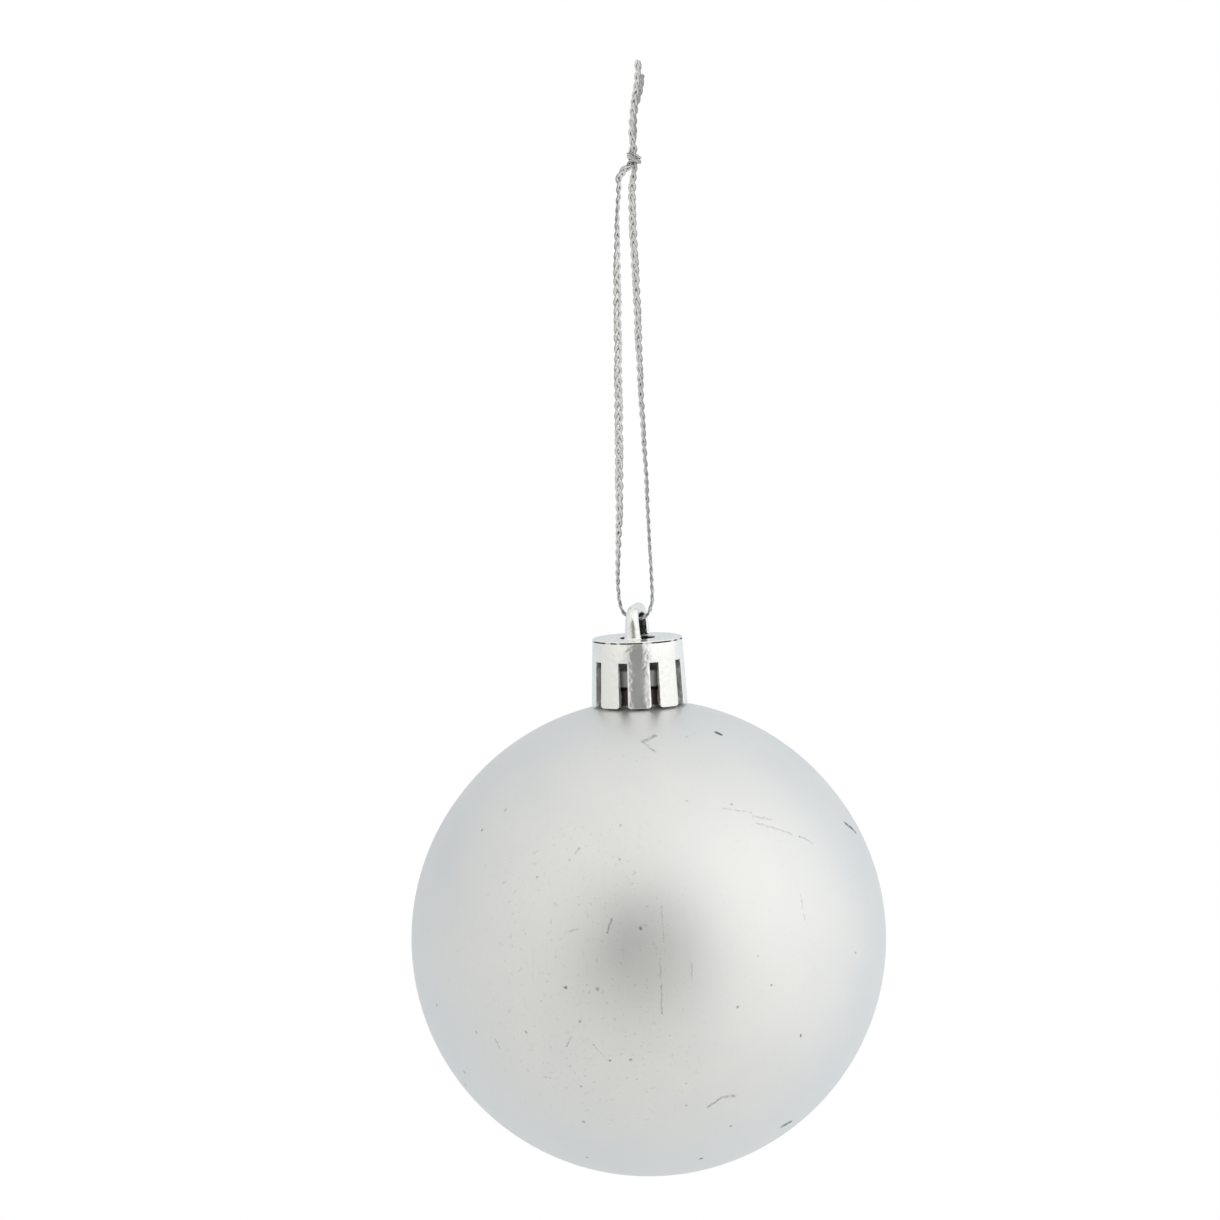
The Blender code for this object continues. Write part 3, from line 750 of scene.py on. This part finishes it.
class Braid:
    """The whole braided cord, ready to be cut into stretches. Lengths s run along it from the long tail."""

    def __init__(self):
        points, self.starts = cord_route()
        self.dense = curve_through(points)
        steps = np.linalg.norm(np.diff(self.dense, axis=0), axis=1)
        self.length_at = np.concatenate([[0.0], np.cumsum(steps)])
        self.total = self.length_at[-1]
        self.tangents = unit(np.gradient(self.dense, self.length_at, axis=0))
        self.lowest = int(np.argmin(self.dense[:, 2]))
        self.carried = transported(self.tangents, self.lowest, np.array((0.0, -1.0, 0.0)))
        self.plan_twist()

    def start_of(self, name):
        return self.length_at[self.starts[name] * CURVE_STEPS]

    def end_of(self, name):
        names = list(self.starts)
        after = names.index(name) + 1
        return self.total if after == len(names) else self.start_of(names[after])

    def at(self, s, values):
        """Values given along the dense curve, taken at the lengths s."""
        return np.stack([np.interp(s, self.length_at, values[:, axis]) for axis in range(3)], axis=1)

    def passing(self, height, start, end):
        """The length, between two others, at which the cord passes a height."""
        run = (self.length_at > start) & (self.length_at < end)
        heights, lengths = self.dense[run, 2], self.length_at[run]
        order = np.argsort(heights)
        return np.interp(height, heights[order], lengths[order])

    def carried_turn(self, s):
        """How far the untwisted cord's side has already turned from facing front, in degrees, at s."""
        along = self.at(np.array([s]), self.tangents)[0]
        side = self.at(np.array([s]), self.carried)[0]
        front = np.array((0.0, -1.0, 0.0))
        front = front - along * np.dot(front, along)
        return math.degrees(math.atan2(np.dot(np.cross(front, side), along), np.dot(front, side)))

    def twist_stations(self):
        """Lengths, and how far the cord's broad side is turned from facing front there, in degrees."""
        left, right = self.start_of("left_top"), self.end_of("right_top")
        bottom = self.length_at[self.lowest]
        eye = (self.start_of("eye_bend") + self.end_of("eye_bend")) / 2.0
        stations = [(1.0, LONG_TAIL_TURN), (self.end_of("long_tail"), LONG_TAIL_TURN)]
        stations += [(self.passing(height, left, bottom), turn) for height, turn in LEFT_TURN]
        stations.append((eye, EYE_TURN))
        stations += [(self.passing(height, bottom, right), turn) for height, turn in RIGHT_TURN]
        stations += [(self.start_of("short_tail"), SHORT_TAIL_TURN), (self.total - 1.0, SHORT_TAIL_TURN)]
        return stations

    def plan_twist(self):
        """Turns the stations into twists, the shortest way from each to the next. Between them the twist
        runs evenly."""
        self.twist_places, self.twists = [], []
        for place, turn in self.twist_stations():
            twist = turn - self.carried_turn(place)
            if self.twists:
                twist += 360.0 * round((self.twists[-1] - twist) / 360.0)
            self.twist_places.append(place)
            self.twists.append(twist)

    def sides_at(self, s):
        """The ways across the cord's thin and its broad side."""
        along = self.at(s, self.tangents)
        thin = self.at(s, self.carried)
        broad = np.cross(along, thin)
        turn = np.radians(np.interp(s, self.twist_places, self.twists))[:, None]
        return thin * np.cos(turn) + broad * np.sin(turn), broad * np.cos(turn) - thin * np.sin(turn)

    def width_at(self, s):
        """The cord's share of its full width: rolled up in the knot, a little open at its cut ends."""
        width = np.ones_like(s)
        for name in ("knot_down", "knot_up"):
            start, end = self.start_of(name), self.end_of(name)
            depth = np.clip(np.minimum(s - start, end - s) / KNOT_EASE + 0.5, 0.0, 1.0)
            width = np.minimum(width, 1.0 - (1.0 - KNOT_SQUEEZE) * depth)
        from_end = np.minimum(s, self.total - s)
        opening = np.clip(1.0 - from_end / END_SPREAD_LENGTH, 0.0, 1.0)
        return width * (1.0 + (END_SPREAD - 1.0) * opening**2)

    def strand_line(self, s, strand):
        """The middle of one strand, woven with the others, and the way across the cord's thin side."""
        thin, broad = self.sides_at(s)
        phase = 2.0 * math.pi * (s / PLAIT_PITCH + strand / STRANDS)
        phase = (phase + LAY_WANDER * np.sin(LAY_WANDER_RATE * s + 2.0 * strand))[:, None]
        wander = 1.0 + SWING_WANDER * np.sin(SWING_WANDER_RATE * s + strand)
        swing = (STRAND_SWING * self.width_at(s) * wander)[:, None]
        weave = swing * np.sin(phase) * broad + STRAND_WEAVE * np.sin(2.0 * phase) * thin
        return self.at(s, self.dense) + weave, thin

    def strand_rings(self, s, strand):
        """The rings of points round one strand of twisted yarns at the lengths s."""
        line, thin = self.strand_line(s, strand)
        tangent = unit(np.gradient(line, s, axis=0))
        up = unit(thin - tangent * np.sum(thin * tangent, axis=1)[:, None])
        side = np.cross(tangent, up)
        angle = np.linspace(0.0, 2.0 * math.pi, STRAND_SECTION, endpoint=False)
        lobed = 1.0 + YARN_LOBE * np.cos(YARN_PLIES * (angle - 2.0 * math.pi * s[:, None] / YARN_PITCH))
        out = STRAND_HALF_THICK * lobed * np.cos(angle)
        across = STRAND_HALF_WIDTH * self.width_at(s)[:, None] * lobed * np.sin(angle)
        rings = line[:, None] + up[:, None] * out[:, :, None] + side[:, None] * across[:, :, None]
        return rings.reshape(-1, 3)

    def piece(self, name, stretches, material):
        """One object of all the strands of the given stretches."""
        tubes, faces, uvs = [], [], []
        count = 0
        for stretch in stretches:
            start, end = self.start_of(stretch), self.end_of(stretch)
            s = np.linspace(start, end, max(4, int(round((end - start) / RING_SPACING)) + 1))
            tube, tube_uvs = tube_faces(s)
            for strand in range(STRANDS):
                tubes.append(self.strand_rings(s, strand))
                faces += [tuple(corner + count for corner in face) for face in tube]
                uvs += tube_uvs
                count += len(tubes[-1])
        made = mesh_object(name, np.vstack(tubes), faces, material, uvs)
        made.data.set_sharp_from_angle(angle=math.radians(STRAND_CORNER))
        return made


def bend_over(piece):
    """Bakes the piece's place into its mesh."""
    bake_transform(piece)


def make_cord():
    material = silver_braid()
    braid = Braid()
    stand_in(braid.piece("braid_knot", ["knot_down", "knot_up"], material), "cord_top", "cord_knot")
    for side in ("long", "short"):
        tail = braid.piece(f"braid_{side}_tail", [f"{side}_tail"], material)
        stand_in(tail, "cord_top", f"cord_tail_{side}")
    for side in ("left", "right"):
        top = braid.piece(f"braid_{side}_top", [f"{side}_top"], material)
        bend_over(top)
        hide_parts(f"cord_{side}_upper")
        middle = braid.piece(f"braid_{side}_middle", [f"{side}_middle"], material)
        bend_over(middle)
        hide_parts(f"cord_{side}_lower")
    eye = braid.piece("braid_eye_bend", ["eye_bend"], material)
    bend_over(eye)
    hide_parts("cord_bight")


# ---- Materials ----


def set_inputs(tree, node, values):
    """Sets a node's inputs, or links them."""
    for key, value in values.items():
        if isinstance(value, bpy.types.NodeSocket):
            tree.links.new(value, node.inputs[key])
        else:
            node.inputs[key].default_value = value


def add_node(tree, kind, inputs=None, **settings):
    """A shader node with its settings, and its inputs set or linked."""
    made = tree.nodes.new(kind)
    for name, value in settings.items():
        setattr(made, name, value)
    set_inputs(tree, made, inputs or {})
    return made


def calc(tree, operation, a, b=0.0, clamp=False):
    made = add_node(tree, "ShaderNodeMath", {0: a, 1: b}, operation=operation, use_clamp=clamp)
    return made.outputs[0]


def vector_calc(tree, operation, *values):
    """Vector maths: a product, length or distance is a number, and the rest are vectors."""
    made = add_node(tree, "ShaderNodeVectorMath", dict(enumerate(values)), operation=operation)
    return made.outputs["Value" if operation in ("DOT_PRODUCT", "LENGTH", "DISTANCE") else "Vector"]


def ramp(tree, value, start, end, low=0.0, high=1.0):
    """Value taken smoothly from one range to another."""
    inputs = {"Value": value, "From Min": start, "From Max": end, "To Min": low, "To Max": high}
    made = add_node(tree, "ShaderNodeMapRange", inputs, interpolation_type="SMOOTHSTEP")
    return made.outputs["Result"]


def noise(tree, vector, size_mm, detail=2.0, roughness=0.5):
    """Noise whose features are about size_mm across."""
    inputs = {"Vector": vector, "Scale": 1.0 / (size_mm * MM), "Detail": detail, "Roughness": roughness}
    return add_node(tree, "ShaderNodeTexNoise", inputs).outputs[0]


def tint(tree, factor, low, high):
    """A colour between two."""
    made = add_node(tree, "ShaderNodeMix", {"Factor": factor, 6: low, 7: high}, data_type="RGBA")
    return made.outputs[2]


def bump(tree, height, depth_mm, strength, **normal):
    """A normal tilted by a height; Normal may be given, to tilt that one further."""
    inputs = {"Height": height, "Distance": depth_mm * MM, "Strength": strength, **normal}
    return add_node(tree, "ShaderNodeBump", inputs).outputs["Normal"]


def object_place(tree):
    return add_node(tree, "ShaderNodeTexCoord").outputs["Object"]


def new_material(name):
    material = bpy.data.materials.new(name)
    material.use_nodes = True
    tree = material.node_tree
    return material, tree, tree.nodes["Principled BSDF"]


def mark_group():
    """A node group: how much of a point is covered by a mark drawn from one place to another."""
    group = bpy.data.node_groups.new("mark", "ShaderNodeTree")
    for name in ("Place", "Start", "End"):
        group.interface.new_socket(name, in_out="INPUT", socket_type="NodeSocketVector")
    for name in ("Half Width", "Darkness"):
        group.interface.new_socket(name, in_out="INPUT", socket_type="NodeSocketFloat")
    group.interface.new_socket("Cover", in_out="OUTPUT", socket_type="NodeSocketFloat")
    given = add_node(group, "NodeGroupInput").outputs
    span = vector_calc(group, "SUBTRACT", given["End"], given["Start"])
    reach = vector_calc(group, "SUBTRACT", given["Place"], given["Start"])
    ahead = vector_calc(group, "DOT_PRODUCT", reach, span)
    share = calc(group, "DIVIDE", ahead, vector_calc(group, "DOT_PRODUCT", span, span), clamp=True)
    gap = vector_calc(group, "DISTANCE", reach, vector_calc(group, "MULTIPLY", span, share))
    widths = calc(group, "DIVIDE", gap, given["Half Width"])
    cover = calc(group, "MULTIPLY", ramp(group, widths, 1.5, 0.5), given["Darkness"])
    add_node(group, "NodeGroupOutput", {"Cover": cover})
    return group


def marks(tree, group, place, radius, listed):
    """The cover of all the listed marks on a ball of the given radius, in millimetres."""
    total = 0.0
    for start_azimuth, start_elevation, end_azimuth, end_elevation, half_width, darkness in listed:
        start = direction(start_azimuth, start_elevation) * radius
        end = direction(end_azimuth, end_elevation) * radius
        inputs = {"Place": place, "Start": start, "End": end, "Half Width": half_width, "Darkness": darkness}
        mark = add_node(tree, "ShaderNodeGroup", node_tree=group)
        set_inputs(tree, mark, inputs)
        total = calc(tree, "MAXIMUM", mark.outputs["Cover"], total)
    return total


def strayed(tree, place):
    """The place in millimetres, moved about a little, so that marks get ragged edges."""
    jitter = add_node(tree, "ShaderNodeTexNoise", {"Vector": place, "Scale": 1.6, "Detail": 3.0})
    stray = vector_calc(tree, "SUBTRACT", jitter.outputs["Color"], (0.5, 0.5, 0.5))
    return vector_calc(tree, "MULTIPLY_ADD", stray, (SCUFF_RAGGED * 2.0,) * 3, place)


def dust(tree, place):
    """Fine specks, and fainter upright hairs."""
    specks = ramp(tree, noise(tree, place, size_mm=0.6), 0.62, 0.74)
    stretched = add_node(tree, "ShaderNodeMapping", {"Vector": place, "Scale": (1.0, 1.0, HAIR_STRETCH)})
    hairs = ramp(tree, noise(tree, stretched.outputs["Vector"], size_mm=0.35), 0.60, 0.72)
    return calc(tree, "MAXIMUM", specks, calc(tree, "MULTIPLY", hairs, HAIR_SHARE))


def worn_coating(tree, place, coating, radius):
    """The coating's colour with dust, scuffs and specks on it."""
    from_centre = vector_calc(tree, "SUBTRACT", place, (0.0, 0.0, radius * MM))
    on_ball = vector_calc(tree, "MULTIPLY", from_centre, (1.0 / MM,) * 3)
    group = mark_group()
    specks = [(azimuth, elevation) * 2 + (half, dark) for azimuth, elevation, half, dark in BALL_SPECKS]
    scuffs = marks(tree, group, strayed(tree, on_ball), radius, list(BALL_SCUFFS) + specks)
    patchy = ramp(tree, noise(tree, place, size_mm=0.45, detail=3.0), 0.35, 0.6, 0.35, 1.0)
    dusty = calc(tree, "ADD", marks(tree, group, on_ball, radius, [DUSTY_AREA]), DUST_ELSEWHERE, clamp=True)
    dusting = calc(tree, "MULTIPLY", calc(tree, "MULTIPLY", dust(tree, place), dusty), DUST_DEPTH)
    wear = calc(tree, "MAXIMUM", dusting, calc(tree, "MULTIPLY", scuffs, patchy))
    brown = marks(tree, group, on_ball, radius, [BROWN_SPECK])
    return tint(tree, brown, tint(tree, wear, coating, SCUFF_COLOUR), BROWN_COLOUR)


def neck_painted_shade(tree, height, bead_z):
    """Painted shade up the neck inside the cap: dark up the neck, a black painted shadow just under the bead,
    and a shaded grey from there up.
    """
    # the painted shadow just under the bead
    line = ramp(tree, height, (bead_z - 0.55) * MM, (bead_z - 0.3) * MM)
    bead = ramp(tree, height, bead_z * MM, (bead_z + 0.1) * MM)
    return tint(tree, bead, tint(tree, line, NECK_PAINTED_SHADE, BEAD_PAINTED_SHADOW), BEAD_PAINTED_SHADE)


def satin_silver(radius, bead_z):
    """A satin coating with fine dust, specks and scuffs; the neck is bare and darkened with painted shade."""
    material, tree, shader = new_material("satin_silver_coating")
    place = object_place(tree)
    grain = noise(tree, place, size_mm=0.16, detail=3.0, roughness=0.6)
    cloud = noise(tree, place, size_mm=9.0, detail=3.0)
    coating = tint(tree, ramp(tree, cloud, 0.35, 0.65), BALL_COOL, BALL_WARM)
    height = add_node(tree, "ShaderNodeSeparateXYZ", {"Vector": place}).outputs["Z"]
    neck = ramp(tree, height, (2.0 * radius - 0.1) * MM, (2.0 * radius + 0.3) * MM)
    ball_colour = worn_coating(tree, place, coating, radius)
    set_inputs(tree, shader, {
        # the neck gets painted shade in place of the ball's coating
        "Base Color": tint(tree, neck, ball_colour, neck_painted_shade(tree, height, bead_z)),
        "Metallic": ramp(tree, neck, 0.0, 1.0, 1.0, 0.3),
        "Roughness": ramp(tree, cloud, 0.3, 0.7, *BALL_ROUGHNESS),
        "Normal": bump(tree, grain, depth_mm=0.006, strength=0.35),
    })
    return material


def plated_silver():
    """Thin bright plating over moulded plastic, wavy and slightly peeled."""
    material, tree, shader = new_material("silver_plating")
    place = object_place(tree)
    wavy = bump(tree, noise(tree, place, size_mm=1.4), depth_mm=0.04, strength=0.6)
    peel = noise(tree, place, size_mm=0.65, detail=1.0)
    set_inputs(tree, shader, {
        "Base Color": PLATING_COLOUR,
        "Metallic": 0.7,
        "Roughness": ramp(tree, noise(tree, place, size_mm=2.5), 0.3, 0.7, *PLATING_ROUGHNESS),
        "Normal": bump(tree, peel, depth_mm=0.07, strength=1.0, Normal=wavy),
    })
    return material


def painted_shade_plastic():
    """Painted shade: dark plastic with a lighter mottle, for the faces where shade falls inside the cap, in
    its groove and round the arch's eye.
    """
    material, tree, shader = new_material("cap_painted_shade")
    # the mottle of the painted shade
    mottle = ramp(tree, noise(tree, object_place(tree), size_mm=0.35, detail=4.0, roughness=0.7), 0.48, 0.66)
    set_inputs(tree, shader, {
        "Base Color": tint(tree, mottle, SHADE_PLASTIC_DARK, SHADE_PLASTIC_MOTTLE),
        "Metallic": 0.0,
        "Specular IOR Level": 0.12,
        "Roughness": 0.6,
        "Normal": bump(tree, mottle, depth_mm=0.02, strength=0.6),
    })
    return material


def silver_braid():
    """Metallic yarn: fibres twisted round each strand, with painted shade along the strands' flanks and where
    they lie against each other.
    """
    material, tree, shader = new_material("silver_braid")
    uv = add_node(tree, "ShaderNodeUVMap", uv_map="strand").outputs["UV"]
    split = add_node(tree, "ShaderNodeSeparateXYZ", {"Vector": uv})
    around = calc(tree, "MULTIPLY", split.outputs["X"], YARN_FIBRES)
    along = calc(tree, "MULTIPLY", split.outputs["Y"], -YARN_FIBRES / YARN_PITCH)
    fibre = calc(tree, "SINE", calc(tree, "MULTIPLY", calc(tree, "ADD", around, along), 2.0 * math.pi))
    # painted shade along each strand's flanks, where it meets its neighbours
    turn = calc(tree, "MULTIPLY", split.outputs["X"], 2.0 * math.pi)
    flank = calc(tree, "ABSOLUTE", calc(tree, "SINE", turn))
    crease_painted_shade = ramp(tree, flank, 0.98, 0.55, 0.33)
    # painted shade where other strands lie near
    open_sky = add_node(tree, "ShaderNodeAmbientOcclusion", {"Distance": BRAID_SHADE_REACH * MM}, samples=8,
                        only_local=True)
    lit = calc(tree, "MULTIPLY", ramp(tree, open_sky.outputs["AO"], 0.25, 0.8), crease_painted_shade)
    glint = noise(tree, object_place(tree), size_mm=0.35)
    outside = tint(tree, ramp(tree, glint, 0.35, 0.65), BRAID_DULL, BRAID_BRIGHT)
    set_inputs(tree, shader, {
        "Base Color": tint(tree, lit, BRAID_PAINTED_SHADE, outside),
        "Metallic": 0.8,
        "Roughness": ramp(tree, glint, 0.3, 0.7, 0.42, 0.3),
        "Normal": bump(tree, fibre, depth_mm=0.006, strength=0.6),
    })
    return material


# ---- Studio ----


def view_axes():
    """The picture's right and up, and the way back to the camera."""
    azimuth, roll = math.radians(VIEW_AZIMUTH), math.radians(VIEW_ROLL)
    back = direction(VIEW_AZIMUTH, VIEW_ELEVATION)
    level_right = Vector((math.cos(azimuth), math.sin(azimuth), 0.0))
    level_up = back.cross(level_right)
    right = level_right * math.cos(roll) - level_up * math.sin(roll)
    up = level_right * math.sin(roll) + level_up * math.cos(roll)
    return right, up, back


def in_view(shares):
    """A vector made of given shares to the picture's right, up and towards the camera."""
    return sum((axis * share for axis, share in zip(view_axes(), shares)), Vector())


def make_camera():
    right, up, back = view_axes()
    target = Vector((0.0, 0.0, ball_radius())) + in_view(VIEW_SHIFT) * MM
    data = bpy.data.cameras.new("camera")
    data.sensor_width = SENSOR_WIDTH
    data.lens = SENSOR_WIDTH * VIEW_DISTANCE / VIEW_WIDTH
    camera = linked("camera", data)
    turn = Matrix((right, up, back)).transposed().to_4x4()
    camera.matrix_world = Matrix.Translation(target + back * VIEW_DISTANCE * MM) @ turn
    bpy.context.scene.camera = camera
    return camera


def cleared_tree(owner):
    """The empty node tree of a material or a world."""
    owner.use_nodes = True
    owner.node_tree.nodes.clear()
    return owner.node_tree


def mixed(tree, factor, first, second):
    made = add_node(tree, "ShaderNodeMixShader", {0: factor, 1: first.outputs[0], 2: second.outputs[0]})
    return made.outputs[0]


def white_to_camera(tree, kind, colour, level):
    """Light of a colour and level to the ornament, and plain white to the camera."""
    glow = add_node(tree, kind, {"Color": colour, "Strength": level})
    white = add_node(tree, kind, {"Color": WHITE, "Strength": 1.0})
    return mixed(tree, add_node(tree, "ShaderNodeLightPath").outputs["Is Camera Ray"], glow, white)


def studio_colour(tree, way):
    """The light's colour from a direction: a little cooler behind the ornament."""
    front = vector_calc(tree, "DOT_PRODUCT", way, view_axes()[2])
    return tint(tree, ramp(tree, front, *TENT_TURN), TENT_COOL, TENT_WARM)


def make_floor():
    """A floor that is plain white to the camera and a dimmer glow to the ornament."""
    material = bpy.data.materials.new("pale_floor")
    tree = cleared_tree(material)
    way = vector_calc(tree, "NORMALIZE", object_place(tree))
    to_right = vector_calc(tree, "DOT_PRODUCT", way, view_axes()[0])
    level = calc(tree, "ADD", calc(tree, "MULTIPLY", to_right, FLOOR_RIGHT_GAIN, clamp=True), FLOOR_GLOW)
    surface = white_to_camera(tree, "ShaderNodeEmission", studio_colour(tree, way), level)
    add_node(tree, "ShaderNodeOutputMaterial", {"Surface": surface})
    square("floor", FLOOR_SIZE / 2.0, -FLOOR_DROP, material)


def make_camera_shade(camera):
    """The unlit zone of the light tent, where it is open for the camera. It follows the camera."""
    material = bpy.data.materials.new("unlit_zone")
    tree = cleared_tree(material)
    share = calc(tree, "DIVIDE", vector_calc(tree, "LENGTH", object_place(tree)), SHADE_RADIUS * MM)
    core = ramp(tree, share, *SHADE_CORE, SHADE_CORE_DEPTH, 0.0)
    halo = ramp(tree, share, *SHADE_HALO, SHADE_HALO_DEPTH, 0.0)
    clear = add_node(tree, "ShaderNodeBsdfTransparent")
    dark = add_node(tree, "ShaderNodeEmission", {"Strength": SHADE_LEVEL})
    surface = mixed(tree, calc(tree, "MAXIMUM", core, halo), clear, dark)
    add_node(tree, "ShaderNodeOutputMaterial", {"Surface": surface})
    shade = square("camera_shade", SHADE_RADIUS, 0.0, material)
    shade.parent = camera
    shade.location = Vector((-SHADE_LEFT, -SHADE_DROP, SHADE_DISTANCE - VIEW_DISTANCE)) * MM
    shade.visible_camera = False


def make_tent():
    """A soft light tent, brighter to the right and in front, and plain white to the camera."""
    world = bpy.data.worlds.new("light_tent")
    bpy.context.scene.world = world
    tree = cleared_tree(world)
    way = add_node(tree, "ShaderNodeTexCoord").outputs["Generated"]
    level = calc(tree, "ADD", vector_calc(tree, "DOT_PRODUCT", way, in_view(TENT_GAIN)), TENT_LEVEL)
    surface = white_to_camera(tree, "ShaderNodeBackground", studio_colour(tree, way), level)
    add_node(tree, "ShaderNodeOutputWorld", {"Surface": surface})


def make_key_light():
    """One large softbox to the right and in front."""
    data = bpy.data.lights.new("key_softbox", "AREA")
    data.size = KEY_SIZE * MM
    data.energy = KEY_POWER
    data.color = KEY_COLOUR
    light = linked("key_softbox", data)
    away = in_view(KEY_SIDE).normalized()
    light.location = Vector((0.0, 0.0, ball_radius())) + away * KEY_DISTANCE * MM
    light.rotation_euler = away.to_track_quat("Z", "Y").to_euler()


def main():
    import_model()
    make_ball()
    make_cap()
    make_cord()
    camera = make_camera()
    make_camera_shade(camera)
    make_floor()
    make_tent()
    make_key_light()
    bpy.context.scene.view_settings.view_transform = "Standard"


main()
